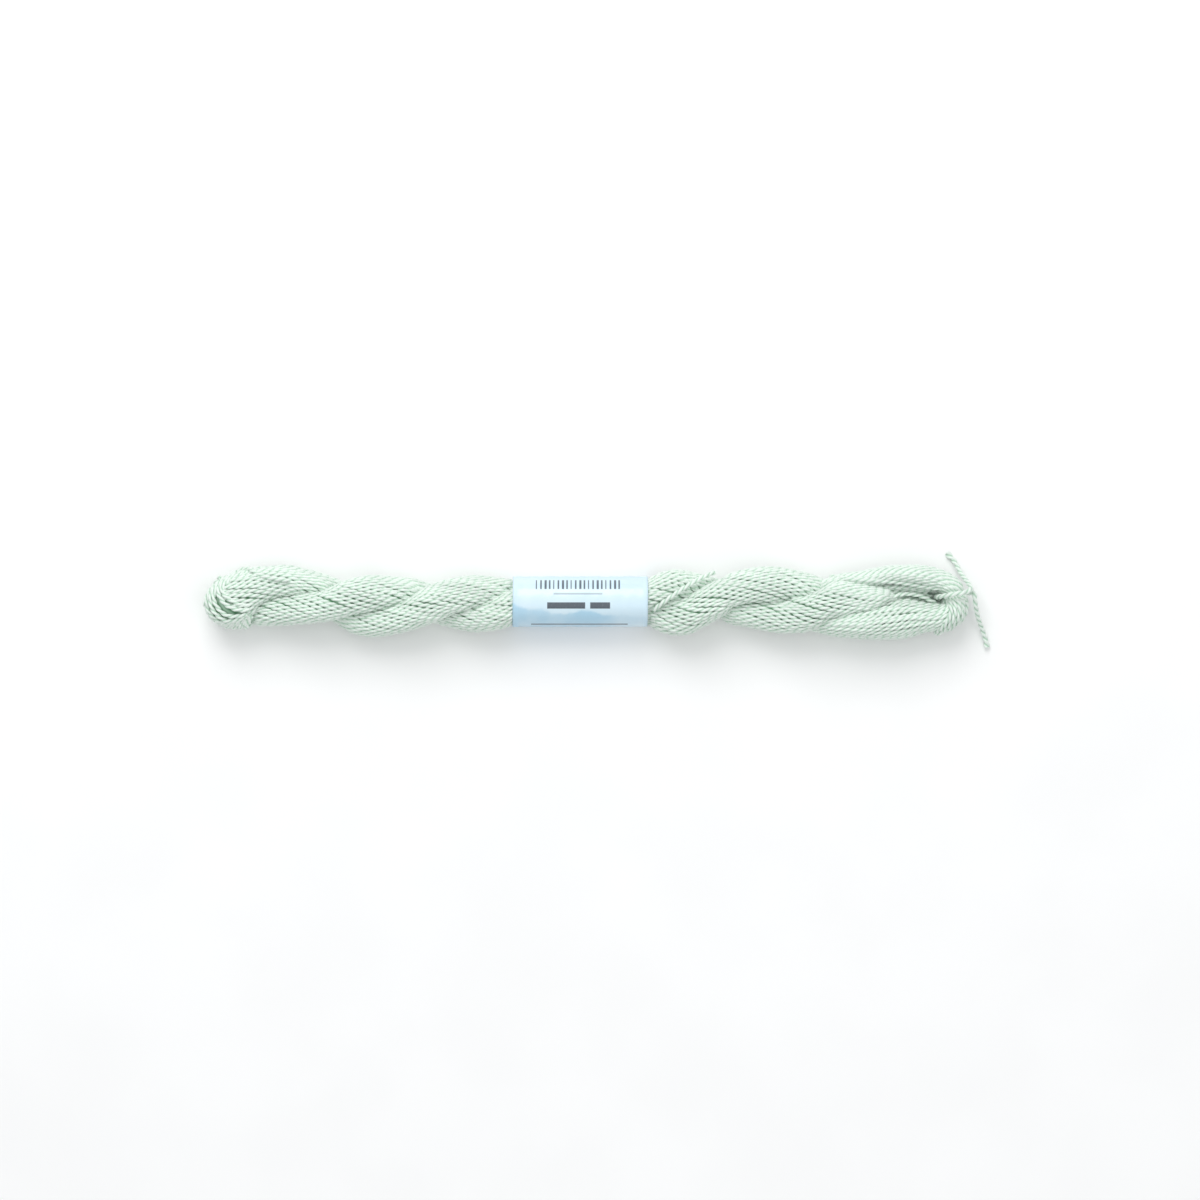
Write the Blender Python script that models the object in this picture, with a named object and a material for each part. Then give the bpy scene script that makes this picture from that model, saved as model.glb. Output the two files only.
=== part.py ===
"""Skein of embroidery floss: a twisted hank, its paper band and the thread tied through its eye.

Metres, +Z up. The hank lies along X on the plane z = 0, with its eye and tie at +X.
"""

import math

import bmesh
import bpy
import numpy as np

MM = 0.001

# The hank: two legs laid round each other, left-handed.
LEG_POINTS = 15  # points round one leg's outer side, groove to groove
RING_STEP = 2.3  # mm between the hank's sections
GROOVE_SHARPNESS = 0.5  # power of the sine that rounds a leg into its grooves
SQUARENESS = 0.92  # power on the section's sine and cosine, 1 for a true ellipse

# The hank's outline, a row per section, in mm.
# cut is the share of the radius that the grooves between the legs take.
OUTLINE_COLUMNS = ("x", "up", "down", "crown", "under", "cut")
OUTLINE = (
    (-84.9, 1.5, -1.3, 7.6, 3.6, 0.00),
    (-84.4, 2.8, -2.8, 8.8, 2.2, 0.00),
    (-83.5, 4.0, -4.0, 9.9, 1.0, 0.00),
    (-82.0, 5.4, -5.1, 10.9, 0.1, 0.00),
    (-80.0, 6.4, -6.0, 11.7, -0.5, 0.00),
    (-77.0, 7.2, -6.1, 12.4, -0.8, 0.04),
    (-74.0, 8.0, -5.7, 12.8, -0.8, 0.24),
    (-71.0, 8.3, -5.4, 13.1, -0.8, 0.38),
    (-67.6, 8.6, -5.3, 13.4, -0.8, 0.42),
    (-62.0, 7.9, -5.5, 13.6, -0.8, 0.42),
    (-57.0, 6.9, -6.3, 13.6, -0.8, 0.40),
    (-52.5, 6.6, -7.7, 13.7, -0.8, 0.38),
    (-49.0, 6.5, -8.1, 13.5, -0.8, 0.38),
    (-43.0, 6.0, -7.3, 13.0, -0.8, 0.38),
    (-38.0, 5.9, -6.7, 13.2, -0.8, 0.38),
    (-31.0, 6.1, -6.4, 13.3, -0.8, 0.36),
    (-26.0, 6.3, -6.8, 13.0, -0.8, 0.34),
    (-20.0, 5.9, -6.4, 12.6, -0.8, 0.32),
    (-17.6, 5.7, -6.0, 12.4, -0.8, 0.30),
    (-17.1, 4.6, -4.3, 10.9, 1.3, 0.24),
    (-8.0, 4.6, -4.3, 10.9, 1.3, 0.20),
    (5.0, 4.6, -4.3, 10.9, 1.3, 0.20),
    (13.6, 4.6, -4.3, 10.9, 1.3, 0.24),
    (14.1, 6.2, -6.0, 12.4, -0.8, 0.30),
    (16.5, 7.0, -6.9, 12.8, -0.8, 0.34),
    (19.5, 7.6, -7.6, 13.0, -0.8, 0.36),
    (22.0, 7.5, -7.7, 13.2, -0.8, 0.38),
    (25.5, 7.3, -6.7, 13.4, -0.8, 0.40),
    (29.8, 7.4, -5.5, 13.6, -0.8, 0.40),
    (34.0, 7.9, -5.8, 13.6, -0.8, 0.40),
    (38.5, 8.2, -6.5, 13.3, -0.8, 0.40),
    (44.0, 8.0, -7.2, 13.0, -0.8, 0.40),
    (49.0, 7.3, -7.6, 13.3, -0.8, 0.38),
    (54.0, 6.3, -7.4, 13.5, -0.8, 0.34),
    (58.0, 5.6, -6.6, 13.4, -0.4, 0.26),
    (62.0, 4.7, -5.4, 12.8, 0.6, 0.16),
    (66.0, 3.8, -3.4, 11.5, 1.8, 0.06),
    (69.0, 3.0, -0.8, 9.6, 2.6, 0.00),
    (72.0, 2.8, -0.4, 7.4, 2.8, 0.00),
    (75.0, 2.4, 0.3, 6.2, 3.4, 0.00),
)

# The angle of each groove round the section, from +Y towards +Z, falling along X.
GROOVE_COLUMNS = ("x", "degrees")
GROOVE_P = (
    (-80.0, 230.0),
    (-75.1, 159.0),
    (-73.3, 121.0),
    (-70.2, 99.0),
    (-66.2, 89.0),
    (-64.0, 76.0),
    (-59.1, 51.0),
    (-56.7, 24.0),
    (-45.0, -90.0),
    (-36.0, -172.0),
    (-33.1, -200.0),
    (-29.4, -236.0),
    (-24.4, -267.0),
    (-21.4, -289.0),
    (-16.8, -327.0),
    (-14.0, -360.0),
    (0.0, -486.0),
    (13.3, -601.0),
    (17.7, -633.0),
    (21.3, -655.0),
    (24.4, -683.0),
    (26.9, -707.0),
    (38.0, -800.0),
    (50.0, -900.0),
    (53.2, -943.0),
    (57.7, -961.0),
    (62.7, -976.0),
    (67.8, -998.0),
    (75.0, -1040.0),
)
GROOVE_Q = (
    (-80.0, 20.0),
    (-75.1, -40.0),
    (-70.2, -90.0),
    (-57.1, -195.0),
    (-52.5, -238.0),
    (-48.4, -254.0),
    (-43.4, -275.0),
    (-39.6, -303.0),
    (-36.7, -345.0),
    (-34.5, -372.0),
    (-24.0, -450.0),
    (-14.0, -545.0),
    (-2.4, -630.0),
    (8.0, -720.0),
    (24.0, -870.0),
    (29.8, -920.0),
    (31.1, -950.0),
    (35.6, -974.0),
    (41.0, -984.0),
    (45.3, -1004.0),
    (49.7, -1030.0),
    (54.0, -1076.0),
    (60.0, -1140.0),
    (75.0, -1240.0),
)

# The open eye at the hank's end: a rope of threads that leaves the legs, turns and comes back.
EYE_POINTS = 16  # points round the rope
EYE_SECTIONS = 40
EYE_COLUMNS = ("x", "y", "z", "half_width", "half_height")
EYE = (
    (51.0, 3.2, 5.5, 1.6, 2.8),
    (56.0, 4.2, 6.2, 2.3, 3.6),
    (61.0, 4.9, 6.6, 2.4, 4.0),
    (66.0, 6.0, 6.8, 2.3, 4.3),
    (71.0, 6.1, 6.7, 2.5, 4.4),
    (75.0, 5.7, 6.5, 2.7, 4.2),
    (78.5, 4.8, 6.2, 2.6, 4.0),
    (80.9, 3.0, 6.0, 2.8, 3.8),
    (81.7, 0.6, 5.8, 3.0, 3.7),
    (80.9, -1.8, 5.6, 3.1, 4.0),
    (78.4, -3.1, 5.6, 3.2, 4.5),
    (74.5, -3.3, 5.7, 3.7, 5.2),
    (70.5, -3.5, 5.8, 4.7, 5.8),
    (66.0, -3.9, 5.9, 4.6, 6.2),
    (60.0, -4.3, 5.8, 4.0, 6.1),
    (54.0, -4.2, 5.6, 3.4, 5.4),
    (49.0, -3.6, 5.4, 2.6, 4.4),
)

# The paper band, wrapped round with its end lapped underneath.
BAND_LEFT = -16.7
BAND_RIGHT = 13.2
BAND_UP = 6.0
BAND_DOWN = -5.6
BAND_CROWN = 12.2
BAND_UNDER = -0.5
BAND_WALL = 1.0
BAND_POINTS = 40
BAND_LAP_FROM = 200.0  # degrees round the section where the lapped end begins
BAND_LAP_TO = 236.0
BAND_LAP_STEP = 0.35  # the lapped end stands this much proud

# The tie, a single thread through the eye, in mm: tip, knot, once round, knot, tip.
TIE_DIAMETER = 1.3
TIE_POINT_STEP = 1.6  # mm between points along the thread
TIE_COLUMNS = ("x", "y", "z")
TIE = (
    (80.2, 11.1, 0.75),
    (81.9, 9.1, 1.1),
    (83.0, 6.7, 3.0),
    (84.2, 4.6, 6.4),
    (84.8, 3.2, 8.7),
    (83.8, 2.4, 10.3),
    (81.4, 1.9, 10.9),
    (78.8, 1.4, 9.3),
    (77.5, 1.2, 6.2),
    (78.6, 1.3, 2.7),
    (81.5, 1.6, 1.1),
    (84.4, 2.0, 2.2),
    (85.5, 2.2, 4.8),
    (85.8, 1.7, 7.0),
    (86.0, 0.0, 7.0),
    (86.7, -2.8, 4.8),
    (87.9, -5.7, 2.2),
    (88.9, -8.5, 0.9),
    (89.2, -10.0, 0.75),
)

MINT = (0.63, 0.80, 0.67, 1.0)
PALE_BLUE = (0.66, 0.83, 0.92, 1.0)


def reading(rows, columns, name, at):
    """A column's value at distance at, on a smooth curve that doesn't overshoot its rows."""
    table = np.array(rows, float)
    xs = table[:, 0]
    ys = table[:, columns.index(name)]
    steps = np.diff(xs)
    slopes = np.diff(ys) / steps
    tangents = np.zeros(len(xs))
    tangents[0] = slopes[0]
    tangents[-1] = slopes[-1]
    for i in range(1, len(xs) - 1):
        if slopes[i - 1] * slopes[i] > 0:
            before = 2 * steps[i] + steps[i - 1]
            after = steps[i] + 2 * steps[i - 1]
            tangents[i] = (before + after) / (before / slopes[i - 1] + after / slopes[i])
    i = int(np.clip(np.searchsorted(xs, at) - 1, 0, len(steps) - 1))
    t = (at - xs[i]) / steps[i]
    rise = (1 + 2 * t) * (1 - t) ** 2 * ys[i] + t * t * (3 - 2 * t) * ys[i + 1]
    lean = t * (1 - t) ** 2 * tangents[i] - t * t * (1 - t) * tangents[i + 1]
    return float(rise + steps[i] * lean)


def route(rows, count):
    """Points at even shares of a smooth curve through the rows, every column carried along."""
    table = np.array(rows, float)
    gaps = np.linalg.norm(np.diff(table[:, :3], axis=0), axis=1) ** 0.5
    knots = np.concatenate([[0.0], np.cumsum(gaps)])
    tangents = np.gradient(table, knots, axis=0)
    fine = []
    for i in range(len(table) - 1):
        span = knots[i + 1] - knots[i]
        for t in np.linspace(0, 1, 24, endpoint=False):
            rise = (1 + 2 * t) * (1 - t) ** 2 * table[i] + t * t * (3 - 2 * t) * table[i + 1]
            lean = t * (1 - t) ** 2 * tangents[i] - t * t * (1 - t) * tangents[i + 1]
            fine.append(rise + span * lean)
    fine.append(table[-1])
    fine = np.array(fine)
    along = np.concatenate([[0.0], np.cumsum(np.linalg.norm(np.diff(fine[:, :3], axis=0), axis=1))])
    wanted = np.linspace(0, along[-1], count)
    return np.stack([np.interp(wanted, along, fine[:, k]) for k in range(fine.shape[1])], axis=1)


def power(value, exponent):
    return math.copysign(abs(value) ** exponent, value)


def loft(name, rings, closed=False):
    """One solid skinned over rings of equally many points, capped at its ends unless closed."""
    mesh = bpy.data.meshes.new(name)
    shape = bmesh.new()
    loops = [[shape.verts.new([c * MM for c in point]) for point in ring] for ring in rings]
    count = len(loops[0])
    pairs = list(zip(loops, loops[1:]))
    if closed:
        pairs.append((loops[-1], loops[0]))
    for one, two in pairs:
        for k in range(count):
            n = (k + 1) % count
            shape.faces.new((one[k], one[n], two[n], two[k]))
    if not closed:
        shape.faces.new(loops[0][::-1])
        shape.faces.new(loops[-1])
    bmesh.ops.recalc_face_normals(shape, faces=shape.faces)
    shape.to_mesh(mesh)
    shape.free()
    return bpy.data.objects.new(name, mesh)


def finish(thing, material, collection):
    """Triangles, flat facets, its material and its place in the object's collection."""
    shape = bmesh.new()
    shape.from_mesh(thing.data)
    bmesh.ops.remove_doubles(shape, verts=shape.verts, dist=0.00001)
    bmesh.ops.triangulate(shape, faces=shape.faces)
    bmesh.ops.recalc_face_normals(shape, faces=shape.faces)
    shape.to_mesh(thing.data)
    shape.free()
    thing.data.materials.clear()
    thing.data.materials.append(material)
    for holder in list(thing.users_collection):
        holder.objects.unlink(thing)
    collection.objects.link(thing)
    return thing


def plain(name, colour, roughness):
    material = bpy.data.materials.new(name)
    material.use_nodes = True
    shader = material.node_tree.nodes["Principled BSDF"]
    shader.inputs["Base Color"].default_value = colour
    shader.inputs["Roughness"].default_value = roughness
    shader.inputs["Metallic"].default_value = 0.0
    return material


def hank_section(x):
    """The legs' outline at x: one leg from groove P down to groove Q, the other on round to P."""
    up, down, crown, under, cut = (reading(OUTLINE, OUTLINE_COLUMNS, n, x) for n in OUTLINE_COLUMNS[1:])
    groove_p = reading(GROOVE_P, GROOVE_COLUMNS, "degrees", x)
    groove_q = reading(GROOVE_Q, GROOVE_COLUMNS, "degrees", x)
    arcs = ((groove_p, groove_q), (groove_q, groove_p - 360))
    points = []
    for begin, end in arcs:
        for k in range(LEG_POINTS):
            share = 0.5 - 0.5 * math.cos(math.pi * k / LEG_POINTS)
            angle = math.radians(begin + (end - begin) * share)
            reach = 1 - cut * (1 - math.sin(math.pi * share) ** GROOVE_SHARPNESS)
            y = (up + down) / 2 + (up - down) / 2 * reach * power(math.cos(angle), SQUARENESS)
            z = (crown + under) / 2 + (crown - under) / 2 * reach * power(math.sin(angle), SQUARENESS)
            points.append((x, y, max(z, 0.0)))
    return points


def make_legs():
    """The two laid legs, the fold that joins them and the tucked end, as one body."""
    rows = [row[0] for row in OUTLINE]
    places = [rows[0]]
    for x in rows[1:]:
        parts = max(1, round((x - places[-1]) / RING_STEP))
        start = places[-1]
        places += [start + (x - start) * (k + 1) / parts for k in range(parts)]
    return loft("skein", [hank_section(x) for x in places])


def make_eye():
    """The rope of threads round the eye, its two ends buried between the legs."""
    rings = []
    path = route(EYE, EYE_SECTIONS)
    ahead = np.gradient(path[:, :2], axis=0)
    for (x, y, z, half_width, half_height), (dx, dy) in zip(path, ahead):
        long = math.hypot(dx, dy)
        side = (-dy / long, dx / long)
        ring = []
        for k in range(EYE_POINTS):
            angle = 2 * math.pi * k / EYE_POINTS
            out = half_width * math.cos(angle)
            ring.append((x + side[0] * out, y + side[1] * out, max(z + half_height * math.sin(angle), 0.0)))
        rings.append(ring)
    return loft("eye", rings)


def make_band():
    """A strip of paper wrapped round the hank, its last lap standing proud underneath."""
    rings = []
    for x in (BAND_LEFT, BAND_RIGHT):
        outer = []
        inner = []
        for k in range(BAND_POINTS):
            degrees = 360 * k / BAND_POINTS
            angle = math.radians(degrees)
            proud = BAND_LAP_STEP if BAND_LAP_FROM <= degrees <= BAND_LAP_TO else 0.0
            for loop, inset in ((outer, -proud), (inner, BAND_WALL)):
                y = (BAND_UP + BAND_DOWN) / 2 + ((BAND_UP - BAND_DOWN) / 2 - inset) * power(math.cos(angle), SQUARENESS)
                z = (BAND_CROWN + BAND_UNDER) / 2 + ((BAND_CROWN - BAND_UNDER) / 2 - inset) * power(math.sin(angle), SQUARENESS)
                loop.append((x, y, max(z, 0.0 if loop is outer else BAND_WALL)))
        rings += [outer, inner] if x == BAND_LEFT else [inner, outer]
    return loft("paper_band", rings, closed=True)


def make_tie():
    """The tie as a round thread on a path of straight steps."""
    long = float(np.linalg.norm(np.diff(np.array(TIE), axis=0), axis=1).sum())
    path = route(TIE, round(long / TIE_POINT_STEP))
    curve = bpy.data.curves.new("tie", "CURVE")
    curve.dimensions = "3D"
    curve.bevel_depth = TIE_DIAMETER / 2 * MM
    curve.bevel_resolution = 2
    curve.use_fill_caps = True
    line = curve.splines.new("POLY")
    line.points.add(len(path) - 1)
    for point, place in zip(line.points, path):
        point.co = (*(c * MM for c in place), 1.0)
    maker = bpy.data.objects.new("tie_maker", curve)
    bpy.context.scene.collection.objects.link(maker)
    view = bpy.context.evaluated_depsgraph_get()
    mesh = bpy.data.meshes.new_from_object(maker.evaluated_get(view))
    bpy.data.objects.remove(maker)
    return bpy.data.objects.new("tie", mesh)


def main():
    for thing in list(bpy.data.objects):
        bpy.data.objects.remove(thing)
    holder = bpy.data.collections.new("skein_of_embroidery_floss")
    bpy.context.scene.collection.children.link(holder)
    cutters = bpy.data.collections.new("cutters")
    bpy.context.scene.collection.children.link(cutters)

    skein = make_legs()
    eye = make_eye()
    holder.objects.link(skein)
    cutters.objects.link(eye)
    eye.hide_render = True
    eye.display_type = "WIRE"
    joined = skein.modifiers.new("eye", "BOOLEAN")
    joined.operation = "UNION"
    joined.solver = "EXACT"
    joined.object = eye
    view = bpy.context.evaluated_depsgraph_get()
    mesh = bpy.data.meshes.new_from_object(skein.evaluated_get(view))
    skein.modifiers.clear()
    skein.data = mesh

    finish(skein, plain("mint_thread", MINT, 0.5), holder)
    finish(make_band(), plain("pale_blue_paper", PALE_BLUE, 0.6), holder)
    finish(make_tie(), plain("mint_tie_thread", MINT, 0.5), holder)


main()
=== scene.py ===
"""The looks of a skein of embroidery floss: plied thread, a paper band and a tie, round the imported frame.

Lengths in the tables are millimetres; everything made in the scene is in metres.
"""

import math

import bmesh
import bpy
import numpy as np
from bpy.props import FloatProperty, FloatVectorProperty, IntProperty, PointerProperty
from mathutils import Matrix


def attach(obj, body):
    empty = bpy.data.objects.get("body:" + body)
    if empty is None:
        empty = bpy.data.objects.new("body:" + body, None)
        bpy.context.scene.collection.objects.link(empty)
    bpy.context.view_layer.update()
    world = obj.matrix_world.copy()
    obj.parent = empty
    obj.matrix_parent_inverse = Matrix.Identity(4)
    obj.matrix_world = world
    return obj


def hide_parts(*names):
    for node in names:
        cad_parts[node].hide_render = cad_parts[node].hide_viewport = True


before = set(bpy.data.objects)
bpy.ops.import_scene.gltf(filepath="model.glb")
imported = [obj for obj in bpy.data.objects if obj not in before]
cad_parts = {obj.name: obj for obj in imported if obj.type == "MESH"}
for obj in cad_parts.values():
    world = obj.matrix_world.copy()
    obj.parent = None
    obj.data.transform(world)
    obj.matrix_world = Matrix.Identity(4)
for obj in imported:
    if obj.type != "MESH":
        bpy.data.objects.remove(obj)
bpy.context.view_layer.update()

bl_info = {
    "name": "Skein of embroidery floss",
    "version": (1, 0, 0),
    "blender": (4, 5, 0),
    "location": "3D View > Sidebar > Skein",
    "description": "Makes a twisted skein of plied thread with its paper band and tie",
    "category": "Object",
}

MM = 0.001

# The hank's outline, a row per section.
OUTLINE_COLUMNS = ("x", "up", "down", "crown", "under", "cut")
OUTLINE = (
    (-84.9, 1.5, -1.3, 7.6, 3.6, 0.00),
    (-84.4, 2.8, -2.8, 8.8, 2.2, 0.00),
    (-83.5, 4.0, -4.0, 9.9, 1.0, 0.00),
    (-82.0, 5.4, -5.1, 10.9, 0.1, 0.00),
    (-80.0, 6.4, -6.0, 11.7, -0.5, 0.00),
    (-77.0, 7.2, -6.1, 12.4, -0.8, 0.06),
    (-74.0, 8.0, -5.7, 12.8, -0.8, 0.36),
    (-71.0, 8.3, -5.4, 13.1, -0.8, 0.58),
    (-67.6, 8.6, -5.3, 13.4, -0.8, 0.62),
    (-62.0, 7.9, -5.5, 13.6, -0.8, 0.62),
    (-57.0, 6.9, -6.3, 13.6, -0.8, 0.58),
    (-52.5, 6.6, -7.7, 13.7, -0.8, 0.54),
    (-49.0, 6.5, -8.1, 13.5, -0.8, 0.54),
    (-43.0, 6.0, -7.3, 13.0, -0.8, 0.54),
    (-38.0, 5.9, -6.7, 13.2, -0.8, 0.54),
    (-31.0, 6.1, -6.4, 13.3, -0.8, 0.50),
    (-26.0, 6.3, -6.8, 13.0, -0.8, 0.46),
    (-20.0, 5.9, -6.4, 12.6, -0.8, 0.42),
    (-17.3, 5.7, -5.8, 12.2, -0.5, 0.36),
    (-16.4, 5.6, -5.3, 11.8, 0.1, 0.30),
    (-8.0, 5.5, -5.2, 11.6, 0.3, 0.20),
    (5.0, 5.5, -5.2, 11.6, 0.3, 0.20),
    (12.9, 5.6, -5.3, 11.8, 0.1, 0.30),
    (13.8, 6.0, -5.6, 12.2, -0.5, 0.40),
    (16.5, 7.0, -6.9, 12.8, -0.8, 0.50),
    (19.5, 7.6, -7.6, 13.0, -0.8, 0.54),
    (22.0, 7.5, -7.7, 13.2, -0.8, 0.56),
    (25.5, 7.3, -6.7, 13.4, -0.8, 0.58),
    (29.8, 7.4, -5.5, 13.6, -0.8, 0.58),
    (34.0, 7.9, -5.8, 13.6, -0.8, 0.58),
    (38.5, 8.2, -6.5, 13.3, -0.8, 0.58),
    (44.0, 8.0, -7.2, 13.0, -0.8, 0.58),
    (49.0, 7.3, -7.6, 13.3, -0.8, 0.54),
    (54.0, 6.3, -7.4, 13.5, -0.8, 0.48),
    (58.0, 5.6, -6.6, 13.4, -0.4, 0.38),
    (62.0, 4.7, -5.4, 12.8, 0.6, 0.24),
    (66.0, 3.8, -3.4, 11.5, 1.8, 0.08),
    (69.0, 3.0, -0.8, 9.6, 2.6, 0.00),
    (72.0, 2.8, -0.4, 7.4, 2.8, 0.00),
    (75.0, 2.4, 0.3, 6.2, 3.4, 0.00),
)

# The angle of each groove round the section, from +Y towards +Z, falling along X.
GROOVE_COLUMNS = ("x", "degrees")
GROOVE_P = (
    (-80.0, 230.0),
    (-75.1, 159.0),
    (-73.3, 121.0),
    (-70.2, 99.0),
    (-66.2, 89.0),
    (-64.0, 76.0),
    (-59.1, 51.0),
    (-56.7, 24.0),
    (-45.0, -90.0),
    (-36.0, -172.0),
    (-33.1, -200.0),
    (-29.4, -236.0),
    (-24.4, -267.0),
    (-21.4, -289.0),
    (-16.8, -327.0),
    (-14.0, -360.0),
    (0.0, -486.0),
    (13.3, -601.0),
    (17.7, -633.0),
    (21.3, -655.0),
    (24.4, -683.0),
    (26.9, -707.0),
    (38.0, -800.0),
    (50.0, -900.0),
    (53.2, -943.0),
    (57.7, -961.0),
    (62.7, -976.0),
    (67.8, -998.0),
    (75.0, -1040.0),
)
GROOVE_Q = (
    (-80.0, 20.0),
    (-75.1, -40.0),
    (-70.2, -90.0),
    (-57.1, -195.0),
    (-52.5, -238.0),
    (-48.4, -254.0),
    (-43.4, -275.0),
    (-39.6, -303.0),
    (-36.7, -345.0),
    (-34.5, -372.0),
    (-24.0, -450.0),
    (-14.0, -545.0),
    (-2.4, -630.0),
    (8.0, -720.0),
    (24.0, -870.0),
    (29.8, -920.0),
    (31.1, -950.0),
    (35.6, -974.0),
    (41.0, -984.0),
    (45.3, -1004.0),
    (49.7, -1030.0),
    (54.0, -1076.0),
    (60.0, -1140.0),
    (75.0, -1240.0),
)
GROOVE_STEEP = 0.30
GROOVE_GENTLE = 0.66
GROOVE_DEEPER = 1.45

# The crease where the upper leg goes down behind the eye: x for each y, on the upper side.
CREASE_Y = (-8.0, -2.6, -0.6, 3.5, 6.5)
CREASE_X = (54.0, 60.4, 66.0, 69.3, 71.0)
CREASE_DEPTH = 1.9
CREASE_WIDTH = 2.6
CREASE_LEVEL = 5.5
EYE_SIDE = 50

# Where the first threads beside the fold begin: x for each y on the upper side, and x beneath.
FOLD_EDGE_Y = (-5.5, -3.5, -2.1, -0.1, 2.3, 5.0, 6.5)
FOLD_EDGE_X = (-75.6, -75.6, -77.0, -80.3, -82.5, -82.0, -81.6)
FOLD_EDGE_LEVEL = 5.7
FOLD_EDGE_BENEATH = -82.0

# Threads are sampled this often along X; none is made where the paper hides it, nor past the legs' end.
THREAD_STEP = 0.7
HIDDEN_FROM = -15.2
HIDDEN_TO = 11.8
LEGS_END = 74.4
RUN_BEYOND = 1.6
SQUARENESS = 0.92

# The open eye at the hank's end: a rope of threads that leaves the legs, turns and comes back.
EYE_COLUMNS = ("x", "y", "z", "half_width", "half_height")
EYE = (
    (51.0, 3.2, 5.5, 1.6, 2.8),
    (56.0, 4.2, 6.2, 2.3, 3.6),
    (61.0, 4.9, 6.6, 2.4, 4.0),
    (66.0, 6.0, 6.8, 2.3, 4.3),
    (71.0, 6.1, 6.7, 2.5, 4.4),
    (75.0, 5.7, 6.5, 2.7, 4.2),
    (78.5, 4.8, 6.2, 2.6, 4.0),
    (80.9, 3.0, 6.0, 2.8, 3.8),
    (81.7, 0.6, 5.8, 3.0, 3.7),
    (80.9, -1.8, 5.6, 3.1, 4.0),
    (78.4, -3.1, 5.6, 3.2, 4.5),
    (74.5, -3.3, 5.7, 3.7, 5.2),
    (70.5, -3.5, 5.8, 4.7, 5.8),
    (66.0, -3.9, 5.9, 4.6, 6.2),
    (60.0, -4.3, 5.8, 4.0, 6.1),
    (54.0, -4.2, 5.6, 3.4, 5.4),
    (49.0, -3.6, 5.4, 2.6, 4.4),
)

# Threads deeper in the eye, and those that go over its end turn below the tie.
INNER_LOOPS = (
    (
        (61.0, 2.2, 6.4), (67.0, 3.0, 7.2), (71.0, 2.9, 6.8), (75.0, 2.6, 5.6), (77.8, 2.9, 4.4),
        (79.9, 1.6, 4.0), (78.2, -0.2, 3.8), (75.0, 0.1, 4.8), (70.0, 1.0, 6.2), (63.0, 0.6, 6.2),
    ),
    (
        (62.0, 1.8, 5.8), (68.0, 2.2, 6.9), (72.0, 2.0, 6.3), (75.0, 1.7, 5.2), (76.6, 1.2, 4.0),
        (75.4, 0.9, 3.8), (72.0, 1.2, 5.0), (67.0, 1.4, 6.0), (62.0, 1.0, 5.6),
    ),
    (
        (62.0, 2.5, 3.5), (70.0, 2.8, 3.4), (77.0, 3.0, 2.8), (80.0, 1.4, 2.4), (77.5, -0.3, 2.6),
        (70.0, 0.2, 3.3), (62.0, 0.5, 3.5),
    ),
    (
        (64.0, 1.8, 2.0), (71.0, 2.1, 1.9), (77.0, 2.1, 1.5), (78.6, 1.3, 1.4), (77.0, 0.5, 1.5),
        (71.0, 1.0, 1.9), (64.0, 1.2, 2.0),
    ),
    ((62.0, 3.0, 7.4), (66.5, 3.4, 8.2), (70.5, 3.4, 7.6), (74.5, 3.1, 6.6), (78.0, 3.3, 5.2)),
    ((62.0, 0.2, 8.4), (66.8, 1.2, 8.6), (70.5, 1.9, 7.8), (74.0, 1.4, 6.8), (77.4, -0.2, 5.6)),
)
CAP_THREADS = (
    (
        (80.0, 0.9, -0.3), (80.3, -0.4, 0.3), (80.4, -1.8, 0.5), (80.1, -3.2, 0.5),
        (79.3, -4.6, 0.4), (78.0, -6.0, 0.0), (77.0, -6.9, -0.6),
    ),
    (
        (80.7, 1.0, -0.2), (81.2, -0.3, 0.3), (81.3, -1.7, 0.5), (81.0, -3.3, 0.5),
        (80.0, -5.0, 0.4), (78.6, -6.5, 0.0), (77.6, -7.0, -0.8),
    ),
    (
        (81.3, 1.1, -0.2), (82.1, -0.2, 0.3), (82.3, -1.7, 0.4), (81.9, -3.4, 0.4),
        (80.8, -5.1, 0.3), (79.5, -6.4, 0.0),
    ),
    (
        (81.9, 1.2, -0.2), (83.0, -0.1, 0.2), (83.2, -1.8, 0.3), (82.7, -3.5, 0.3),
        (81.5, -5.0, 0.2), (80.4, -6.0, 0.0),
    ),
    ((82.5, 1.3, -0.2), (83.9, 0.0, 0.1), (84.0, -1.7, 0.2), (83.4, -3.4, 0.1), (82.2, -4.8, 0.0)),
)

# The tie, as its solid runs: tip, knot, once round, knot, tip.
TIE_COLUMNS = ("x", "y", "z")
TIE = (
    (80.2, 11.1, 0.75),
    (81.9, 9.1, 1.1),
    (83.0, 6.7, 3.0),
    (84.2, 4.6, 6.4),
    (84.8, 3.2, 8.7),
    (83.8, 2.4, 10.3),
    (81.4, 1.9, 10.9),
    (78.8, 1.4, 9.3),
    (77.5, 1.2, 6.2),
    (78.6, 1.3, 2.7),
    (81.5, 1.6, 1.1),
    (84.4, 2.0, 2.2),
    (85.5, 2.2, 4.8),
    (85.8, 1.7, 7.0),
    (86.0, 0.0, 7.0),
    (86.7, -2.8, 4.8),
    (87.9, -5.7, 2.2),
    (88.9, -8.5, 0.9),
    (89.2, -10.0, 0.75),
)

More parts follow.
